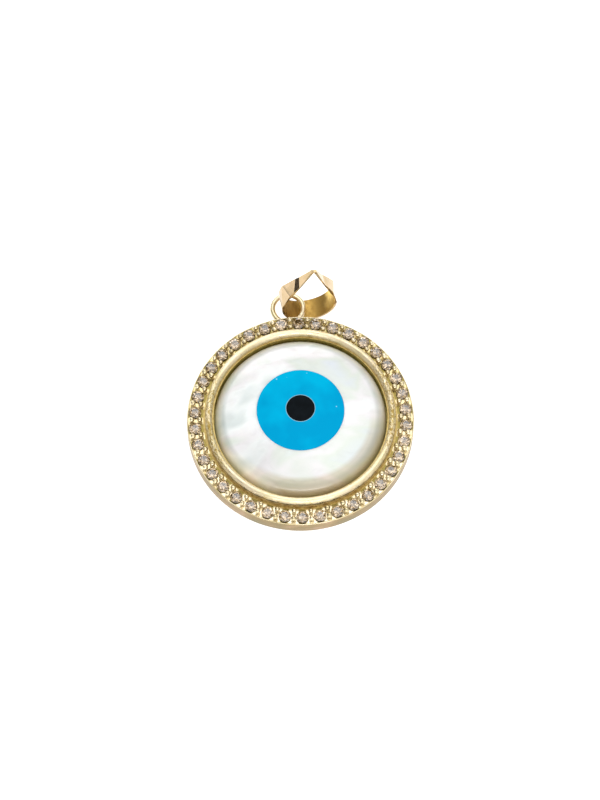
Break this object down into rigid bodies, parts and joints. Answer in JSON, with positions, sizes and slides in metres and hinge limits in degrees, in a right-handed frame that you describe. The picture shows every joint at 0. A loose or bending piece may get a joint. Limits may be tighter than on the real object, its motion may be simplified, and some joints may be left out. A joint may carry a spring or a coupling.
{
  "type": "eye pendant",
  "caption": "Round eye pendant: domed mother-of-pearl eye with blue iris and black pupil in a gold bezel, rim of small clear stones, soldered ring and faceted bail.",
  "frame": {"origin": "centre of the flat back face of the round setting", "axes": "+Z out of the eye, away from the flat back; +Y from the centre towards the hanging ring and the bail; +X to the right of an upright eye seen from the front"},
  "size_m": [0.02, 0.0227, 0.0072],
  "materials": {
    "setting_gold": "polished",
    "bail_gold": "polished",
    "nacre": "gloss",
    "blue_inlay": "gloss",
    "black_inlay": "gloss",
    "clear_stone": "polished"
  },
  "bodies": {
    "root": {"setting": "setting_gold", "mother_of_pearl": "nacre", "iris": "blue_inlay", "pupil": "black_inlay", "bail": "bail_gold", "stone_01": "clear_stone", "stone_02": "clear_stone", "stone_03": "clear_stone", "stone_04": "clear_stone", "stone_05": "clear_stone", "stone_06": "clear_stone", "stone_07": "clear_stone", "stone_08": "clear_stone", "stone_09": "clear_stone", "stone_10": "clear_stone", "stone_11": "clear_stone", "stone_12": "clear_stone", "stone_13": "clear_stone", "stone_14": "clear_stone", "stone_15": "clear_stone", "stone_16": "clear_stone", "stone_17": "clear_stone", "stone_18": "clear_stone", "stone_19": "clear_stone", "stone_20": "clear_stone", "stone_21": "clear_stone", "stone_22": "clear_stone", "stone_23": "clear_stone", "stone_24": "clear_stone", "stone_25": "clear_stone", "stone_26": "clear_stone", "stone_27": "clear_stone", "stone_28": "clear_stone", "stone_29": "clear_stone", "stone_30": "clear_stone", "stone_31": "clear_stone", "stone_32": "clear_stone", "stone_33": "clear_stone", "stone_34": "clear_stone", "stone_35": "clear_stone", "stone_36": "clear_stone", "stone_37": "clear_stone", "stone_38": "clear_stone"}
  },
  "joints": []
}
